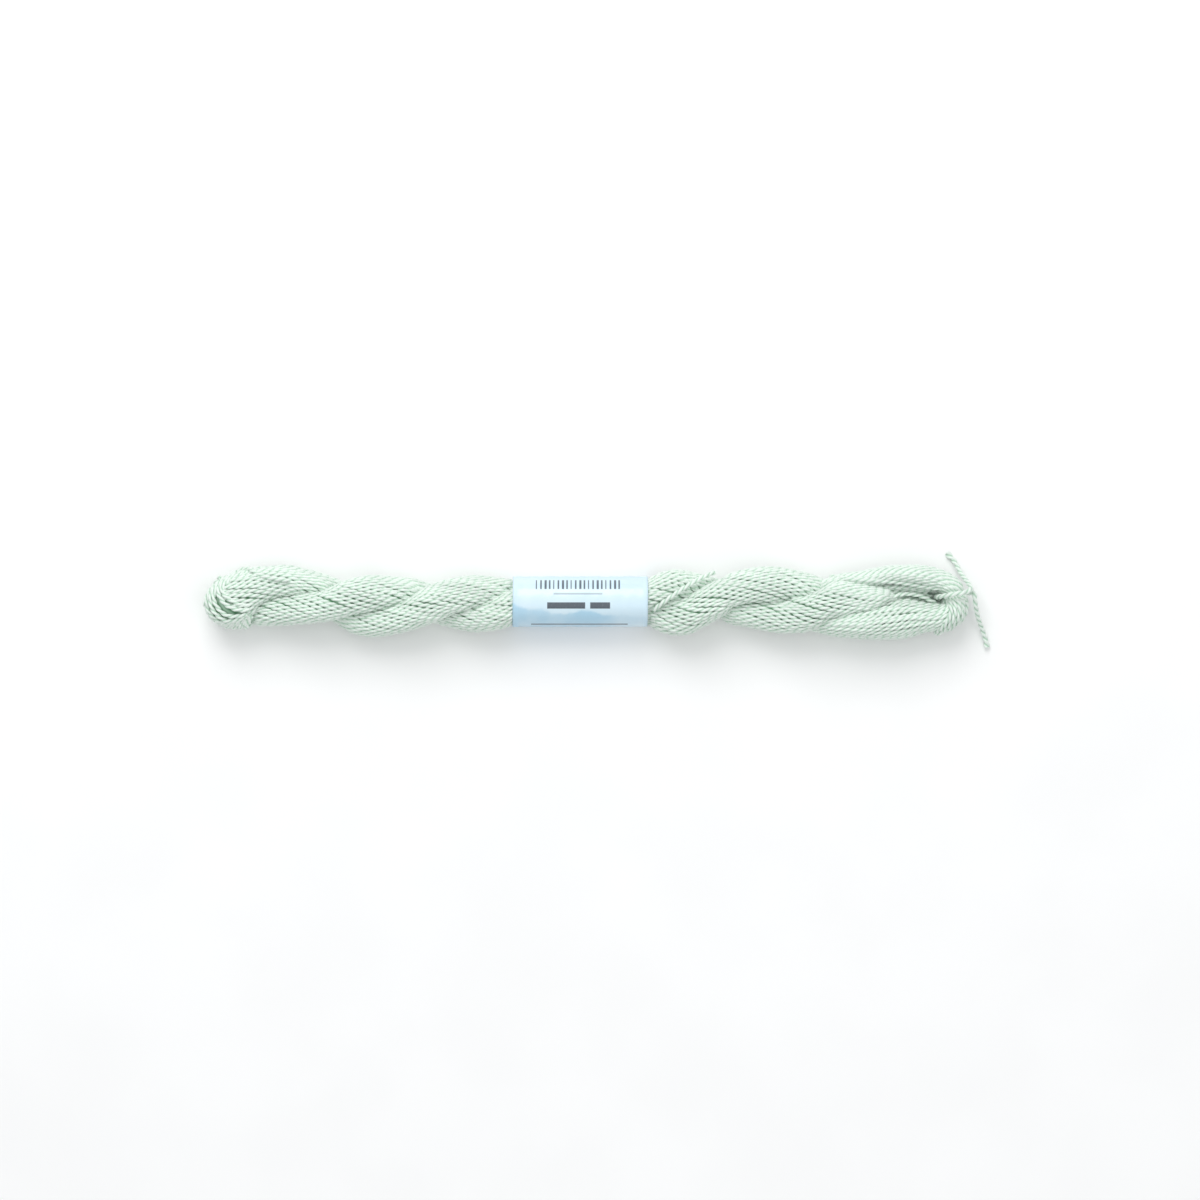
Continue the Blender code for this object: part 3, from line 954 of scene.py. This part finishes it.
def thread_material():
    """Lustrous plied thread: fine fibres along each ply, with painted shade between the plies."""
    look = Shader("mint_thread_with_painted_groove_shade")
    if not look.fresh:
        return look.material
    chosen = settings().skein_thread
    crest = look.attribute("crest")
    tint = look.attribute("tint")
    fibre = look.node("ShaderNodeVectorMath", operation="SCALE")
    look.put(fibre.inputs[0], look.attribute("round", "Vector"))
    fibre.inputs["Scale"].default_value = 3.2
    seeded = look.node("ShaderNodeCombineXYZ")
    stretched = look.maths("MULTIPLY", look.attribute("along"), 160.0)
    look.put(seeded.inputs["Z"], look.maths("ADD", look.maths("MULTIPLY", tint, 90.0), stretched))
    line = look.node("ShaderNodeVectorMath", operation="ADD")
    look.put(line.inputs[0], fibre.outputs[0])
    look.put(line.inputs[1], seeded.outputs[0])
    fibres = look.noise(line.outputs[0], 1.6, 4.0, 0.6)
    patches = look.noise(look.object_place(), 140.0, 3.0)
    uneven = look.maths("MULTIPLY", look.maths("SUBTRACT", fibres, 0.5), 0.5)
    # Painted shade: where crest is low or the fibre noise dark, the deep mint is mixed in for the shade
    # between plies and fibres.
    groove_shade_mix = look.maths("ADD", look.spread(crest, 0.0, 0.55), uneven, clamp=True)
    mint_with_groove_shade = look.mix(groove_shade_mix, chosen.deep, chosen.light)
    shade = look.maths("ADD", look.maths("MULTIPLY", tint, 0.09), look.maths("MULTIPLY", patches, 0.14))
    grey = look.node("ShaderNodeCombineColor")
    level = look.maths("ADD", shade, 0.885)
    for name in ("Red", "Green", "Blue"):
        look.put(grey.inputs[name], level)
    colour = look.mix(1.0, mint_with_groove_shade, grey.outputs[0], "MULTIPLY")
    look.put(look.surface.inputs["Base Color"], colour)
    look.put(look.surface.inputs["Roughness"], look.spread(fibres, 0.3, 0.8, 0.42, 0.60))
    look.set(Sheen_Weight=0.25, Sheen_Roughness=0.4, Specular_IOR_Level=0.45)
    look.bump(fibres, 0.35, 0.0001)
    return look.material


def core_material():
    """Painted shade for the threads that lie deeper, seen only between the outer ones: dark mint bands in
    place of the shade inside the hank.
    """
    look = Shader("mint_core_painted_shade")
    if not look.fresh:
        return look.material
    chosen = settings().skein_thread
    wave = look.node("ShaderNodeTexWave", wave_type="BANDS", bands_direction="DIAGONAL")
    look.put(wave.inputs["Vector"], look.object_place())
    wave.inputs["Scale"].default_value = 260.0
    wave.inputs["Distortion"].default_value = 3.0
    # Painted shade: bands between the inner shade mint and the groove shade mint.
    look.put(look.surface.inputs["Base Color"], look.mix(wave.outputs["Fac"], chosen.inner_shade, chosen.deep))
    look.set(Roughness=0.7, Sheen_Weight=0.1)
    look.bump(wave.outputs["Fac"], 0.5, 0.0003)
    return look.material


def paper_material():
    """Pale blue paper under clear tape, with a soft wash and plain bars and rules."""
    look = Shader("pale_blue_paper_looks")
    if not look.fresh:
        return look.material
    chosen = settings().skein_band
    place = look.object_place()
    x, y, z = look.axes(place)[:3]
    x = look.maths("MULTIPLY", x, 1000.0)
    y = look.maths("MULTIPLY", y, 1000.0)
    top = look.spread(z, 0.0062, 0.0070)
    cloud = look.noise(place, 130.0, 4.0, 0.55)
    edge = look.maths("ADD", y, look.maths("MULTIPLY", x, 0.10))
    edge = look.maths("ADD", edge, look.maths("MULTIPLY", cloud, 5.0))
    wash = look.spread(edge, -0.6, 0.4, 0.75, 0.0)
    wash = look.maths("MULTIPLY", wash, look.spread(x, 3.0, 7.5, 1.0, 0.25))
    colour = look.mix(wash, chosen.paper, chosen.wash)
    colour = look.mix(look.maths("MULTIPLY", look.spread(cloud, 0.35, 0.7), 0.25), colour, (0.82, 0.92, 0.97))

    def box(left, right, low, high):
        soft = 0.07
        found = look.spread(x, left - soft, left + soft)
        found = look.maths("MULTIPLY", found, look.spread(x, right - soft, right + soft, 1.0, 0.0))
        found = look.maths("MULTIPLY", found, look.spread(y, low - soft, low + soft))
        return look.maths("MULTIPLY", found, look.spread(y, high - soft, high + soft, 1.0, 0.0))

    inked = None
    for left, right, low, high, ink in RULES:
        rule = look.maths("MULTIPLY", box(left, right, low, high), ink)
        inked = rule if inked is None else look.maths("MAXIMUM", inked, rule)
    cycle = look.maths("FRACT", look.maths("DIVIDE", look.maths("SUBTRACT", x, BARS["left"]), BARS["pitch"]))
    number = look.maths("FLOOR", look.maths("DIVIDE", look.maths("SUBTRACT", x, BARS["left"]), BARS["pitch"]))
    wide = look.maths("ADD", look.maths("MULTIPLY", look.maths("PINGPONG", number, 2.0), 0.13), 0.30)
    ending = look.spread(look.maths("SUBTRACT", cycle, wide), 0.0, 0.07, 1.0, 0.0)
    bars = look.maths("MULTIPLY", look.spread(cycle, 0.06, 0.12), ending)
    bars = look.maths("MULTIPLY", bars, box(BARS["left"], BARS["right"], BARS["low"], BARS["high"]))
    inked = look.maths("MAXIMUM", inked, look.maths("MULTIPLY", bars, BARS["ink"]))
    grain = look.noise(place, 2600.0, 2.0)
    inked = look.maths("MULTIPLY", inked, look.spread(grain, 0.2, 0.5, 0.95, 1.0))
    inked = look.maths("MULTIPLY", inked, top)
    look.put(look.surface.inputs["Base Color"], look.mix(inked, colour, chosen.ink))
    taped = look.maths("MULTIPLY", box(-15.4, 12.2, -5.4, 5.2), top)
    look.put(look.surface.inputs["Coat Weight"], look.maths("MULTIPLY", taped, 0.55))
    look.put(look.surface.inputs["Roughness"], look.spread(taped, 0.0, 1.0, 0.62, 0.42))
    look.set(Coat_Roughness=0.16)
    ripple = look.maths("ADD", look.maths("MULTIPLY", grain, 0.25), look.noise(place, 220.0, 2.0))
    look.bump(ripple, 0.16, 0.0004)
    return look.material


def closed_mesh(name, shape):
    """A smooth mesh of triangles with its normals outwards."""
    bmesh.ops.triangulate(shape, faces=shape.faces)
    bmesh.ops.recalc_face_normals(shape, faces=shape.faces)
    for face in shape.faces:
        face.smooth = True
    mesh = bpy.data.meshes.new(name)
    shape.to_mesh(mesh)
    shape.free()
    return mesh


def loft_mesh(name, rings):
    """A closed skin over rings of equally many points, in mm."""
    shape = bmesh.new()
    loops = [[shape.verts.new([c * MM for c in point]) for point in ring] for ring in rings]
    count = len(loops[0])
    for one, two in zip(loops, loops[1:]):
        for k in range(count):
            n = (k + 1) % count
            shape.faces.new((one[k], one[n], two[n], two[k]))
    shape.faces.new(loops[0][::-1])
    shape.faces.new(loops[-1])
    return closed_mesh(name, shape)


class SKEIN_OT_core(bpy.types.Operator):
    """Make the body of deeper threads that fills the hank and its eye, dark with painted shade"""

    bl_idname = "object.skein_core"
    bl_label = "Make the skein's core"

    def execute(self, context):
        deep = settings().skein_thread.diameter / MM * 0.98
        xs = np.arange(-84.2, 75.0, 1.2)
        shares = (1 - np.cos(np.linspace(0, math.pi, 27)[:-1])) / 2
        rings = []
        for x in xs:
            p = float(groove(GROOVE_P, x))
            q = float(groove(GROOVE_Q, x))
            angles = np.concatenate([p + (q - p) * shares, q + (p - 360 - q) * shares])
            across = np.full(len(angles), x)
            outer = hank_point(across, angles, deep)
            rings.append(hank_point(across, angles, deep + 1.1 * crease_depth(outer)))
        body = placed("skein_core", loft_mesh("skein_core", rings), core_material())
        path = eye_ring(1.0)
        ahead = np.gradient(path[:, :2], axis=0)
        rings = []
        for (x, y, z, half_width, half_height), (dx, dy) in zip(path, ahead):
            long = math.hypot(dx, dy)
            angle = np.radians(np.arange(0, 360, 18))
            out = (half_width - deep) * np.cos(angle)
            rise = (half_height - deep) * np.sin(angle)
            level = np.maximum(z + rise, deep)
            rings.append(np.stack([x - dy / long * out, y + dx / long * out, level], axis=1))
        eye = placed("eye_core", loft_mesh("eye_core", rings), core_material())
        for piece in (body, eye):
            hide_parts("skein")
        return {"FINISHED"}


class SKEIN_OT_threads(bpy.types.Operator):
    """Make the hank's outer threads, region by region"""

    bl_idname = "object.skein_threads"
    bl_label = "Make the skein's threads"

    def execute(self, context):
        chosen = settings().skein_thread
        rng = np.random.default_rng(chosen.seed)
        radius = chosen.diameter / MM / 2
        spacing = chosen.spacing / MM
        everything = leg_threads(rng, radius, spacing, chosen.drift)
        everything += fold_threads(rng, radius)
        everything += eye_threads(rng, radius, spacing)
        everything += stray_threads(rng, radius)
        regions = (
            ("threads_fold", -90, -66),
            ("threads_left", -66, -38),
            ("threads_beside_band", -38, 5),
            ("threads_right", 5, 36),
            ("threads_near_eye", 36, 58),
            ("threads_eye", 58, 90),
        )
        for name, low, high in regions:
            held = [one for one in everything if low <= one["points"][:, 0].mean() < high]
            if not held:
                raise RuntimeError(name + " has no threads")
            mesh = sweep_threads(name, held, chosen.diameter, chosen.sides)
            piece = placed(name, mesh)
            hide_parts("skein")
        return {"FINISHED"}


class SKEIN_OT_tie(bpy.types.Operator):
    """Make the thread tied through the eye"""

    bl_idname = "object.skein_tie"
    bl_label = "Make the tie"

    def execute(self, context):
        chosen = settings().skein_thread
        size = settings().skein_tie.diameter
        rng = np.random.default_rng(chosen.seed + 1)
        path = route(TIE, 0.8)
        tip = np.minimum(np.arange(len(path)), np.arange(len(path))[::-1])
        girth = 1 + TIP_FLARE * np.clip(1 - tip / 3.5, 0, 1)
        mesh = sweep_threads("tie_thread", [thread(path, rng, girth)], size, TIE_SIDES)
        piece = placed("tie_thread", mesh)
        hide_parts("tie")
        return {"FINISHED"}


class SKEIN_OT_band(bpy.types.Operator):
    """Make the paper band with its plain print"""

    bl_idname = "object.skein_band"
    bl_label = "Make the paper band"

    def execute(self, context):
        chosen = settings().skein_band
        thick = chosen.thickness / MM
        across = 64
        around = 150
        grid = []
        for layer in (0.0, thick):
            for k in range(around + 1):
                turn = k / around
                degrees = 205 + 396 * turn
                lapped = np.clip((degrees - 561) / 12, 0, 1) * 0.16
                proud = lapped - 0.16 - layer
                angle = math.radians(degrees)
                for j in range(across + 1):
                    x = BAND_LEFT + (BAND_RIGHT - BAND_LEFT) * j / across
                    edge = min(j, across - j) / across
                    dent = 0.10 * math.sin(0.9 * x + 2.2 * angle) * math.sin(0.37 * x + angle)
                    lift = proud - abs(dent) * 0.8 - 0.05 * math.exp(-edge * 30)
                    wide = (BAND_UP - BAND_DOWN) / 2 + lift
                    tall = (BAND_CROWN - BAND_UNDER) / 2 + lift
                    y = (BAND_UP + BAND_DOWN) / 2 + wide * power(math.cos(angle), SQUARENESS)
                    z = (BAND_CROWN + BAND_UNDER) / 2 + tall * power(math.sin(angle), SQUARENESS)
                    skew = 0.10 * math.sin(angle + 0.6)
                    grid.append(((x + skew) * MM, y * MM, max(z, 0.02 + layer) * MM))
        row = across + 1
        sheet = row * (around + 1)
        faces = []
        for k in range(around):
            for j in range(across):
                a = k * row + j
                faces.append((a, a + 1, a + row + 1, a + row))
                faces.append((sheet + a, sheet + a + row, sheet + a + row + 1, sheet + a + 1))
            for j in (0, across):
                a = k * row + j
                rim = (a, a + row, sheet + a + row, sheet + a)
                faces.append(rim if j == 0 else rim[::-1])
        for k in (0, around):
            for j in range(across):
                a = k * row + j
                rim = (a, a + 1, sheet + a + 1, sheet + a)
                faces.append(rim[::-1] if k == 0 else rim)
        rough = bpy.data.meshes.new("rough_paper")
        rough.from_pydata(grid, [], faces)
        shape = bmesh.new()
        shape.from_mesh(rough)
        bpy.data.meshes.remove(rough)
        piece = placed("band_paper", closed_mesh("band_paper", shape), paper_material())
        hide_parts("paper_band")
        return {"FINISHED"}


class SKEIN_OT_stage(bpy.types.Operator):
    """Make the pale floor, the soft lights and the camera above"""

    bl_idname = "object.skein_stage"
    bl_label = "Make the stage"

    def execute(self, context):
        scene = context.scene
        chosen = settings().skein_stage
        lens = bpy.data.cameras.new("camera")
        camera = bpy.data.objects.new("camera", lens)
        scene.collection.objects.link(camera)
        level = 0.006
        lens.sensor_width = 36.0
        lens.lens = 36.0 * (chosen.distance - level) / chosen.frame_width
        lens.clip_start = 0.02
        lens.clip_end = 10.0
        camera.location = (0.00267, 0.00056, chosen.distance)
        scene.camera = camera
        shape = bmesh.new()
        bmesh.ops.create_grid(shape, x_segments=8, y_segments=8, size=1.5)
        mesh = bpy.data.meshes.new("floor")
        shape.to_mesh(mesh)
        shape.free()
        floor = bpy.data.objects.new("floor", mesh)
        scene.collection.objects.link(floor)
        look = Shader("floor_looks")
        tone = look.noise(look.object_place(), 30.0, 2.0)
        pale = look.mix(look.spread(tone, 0.3, 0.7), (0.93, 0.93, 0.93), (0.95, 0.95, 0.95))
        look.put(look.surface.inputs["Base Color"], pale)
        look.set(Roughness=0.9)
        mesh.materials.append(look.material)
        for name, place, size, strength in (
            ("key", (-0.15, 0.60, 0.70), 0.60, 4.6),
            ("fill", (0.50, -0.35, 0.80), 0.9, 1.0),
            ("over", (0.0, 0.0, 1.3), 1.0, 2.8),
        ):
            lamp = bpy.data.lights.new(name, "AREA")
            lamp.size = size
            lamp.energy = strength
            light = bpy.data.objects.new(name, lamp)
            light.location = place
            aim = -np.array(place)
            tip = math.atan2(math.hypot(aim[0], aim[1]), -aim[2])
            light.rotation_euler = (tip, 0, math.atan2(-aim[0], aim[1]))
            scene.collection.objects.link(light)
        world = bpy.data.worlds.new("studio")
        world.use_nodes = True
        world.node_tree.nodes["Background"].inputs["Color"].default_value = (0.97, 0.99, 1.0, 1.0)
        world.node_tree.nodes["Background"].inputs["Strength"].default_value = 0.55
        scene.world = world
        scene.view_settings.view_transform = "Standard"
        return {"FINISHED"}


class SKEIN_PT_panel(bpy.types.Panel):
    """Lists what makes the skein"""

    bl_idname = "SKEIN_PT_panel"
    bl_label = "Skein"
    bl_space_type = "VIEW_3D"
    bl_region_type = "UI"
    bl_category = "Skein"

    def draw(self, context):
        for group in ("skein_thread", "skein_band", "skein_tie", "skein_stage"):
            held = getattr(context.scene, group)
            box = self.layout.box()
            for name in held.__annotations__:
                box.prop(held, name)
        for operator in OPERATORS:
            self.layout.operator(operator.bl_idname)


OPERATORS = (SKEIN_OT_stage, SKEIN_OT_tie, SKEIN_OT_core, SKEIN_OT_threads, SKEIN_OT_band)
GROUPS = (
    ("skein_thread", ThreadSettings),
    ("skein_band", BandSettings),
    ("skein_tie", TieSettings),
    ("skein_stage", StageSettings),
)


def register():
    for name, group in GROUPS:
        bpy.utils.register_class(group)
        setattr(bpy.types.Scene, name, PointerProperty(type=group))
    for operator in OPERATORS:
        bpy.utils.register_class(operator)
    bpy.utils.register_class(SKEIN_PT_panel)


def unregister():
    bpy.utils.unregister_class(SKEIN_PT_panel)
    for operator in reversed(OPERATORS):
        bpy.utils.unregister_class(operator)
    for name, group in reversed(GROUPS):
        delattr(bpy.types.Scene, name)
        bpy.utils.unregister_class(group)


def main():
    register()
    bpy.ops.object.skein_stage()
    bpy.ops.object.skein_tie()
    bpy.ops.object.skein_core()
    bpy.ops.object.skein_threads()
    bpy.ops.object.skein_band()


if __name__ == "__main__":
    main()
